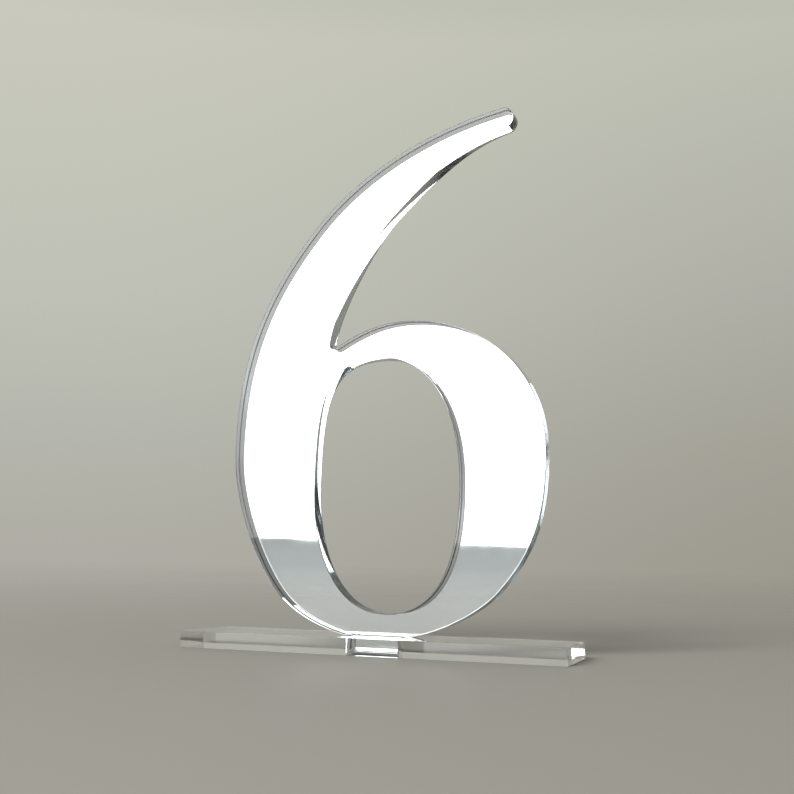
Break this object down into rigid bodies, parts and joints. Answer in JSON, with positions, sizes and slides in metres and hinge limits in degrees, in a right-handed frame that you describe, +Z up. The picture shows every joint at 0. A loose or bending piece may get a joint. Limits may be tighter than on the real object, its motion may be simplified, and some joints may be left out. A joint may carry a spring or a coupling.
{
  "type": "table number holder",
  "caption": "Free-standing wedding table number: a mirror-acrylic digit 6 whose tab plugs into a slotted clear acrylic bar base.",
  "frame": {"origin": "centre of the bar's underside, on the table", "axes": "+X along the bar, -Y the way the digit's mirror faces, +Z up"},
  "size_m": [0.115, 0.025, 0.1586],
  "materials": {
    "clear_bar": "clear polished cast acrylic, laser-cut edges",
    "clear_sheet": "clear polished acrylic, laser-cut edges",
    "mirror_film": "silver mirror behind the clear sheet",
    "grey_paint": "flat grey protective back paint"
  },
  "bodies": {
    "base": {"stand_base": "clear_bar"},
    "number": {"number_sheet": "clear_sheet", "mirror_layer": "mirror_film", "back_coat": "grey_paint"}
  },
  "joints": [
    {"name": "number_lift", "type": "slide", "parent": "base", "child": "number", "axis": [0, 0, 1], "range_m": [0, 0.012]}
  ]
}
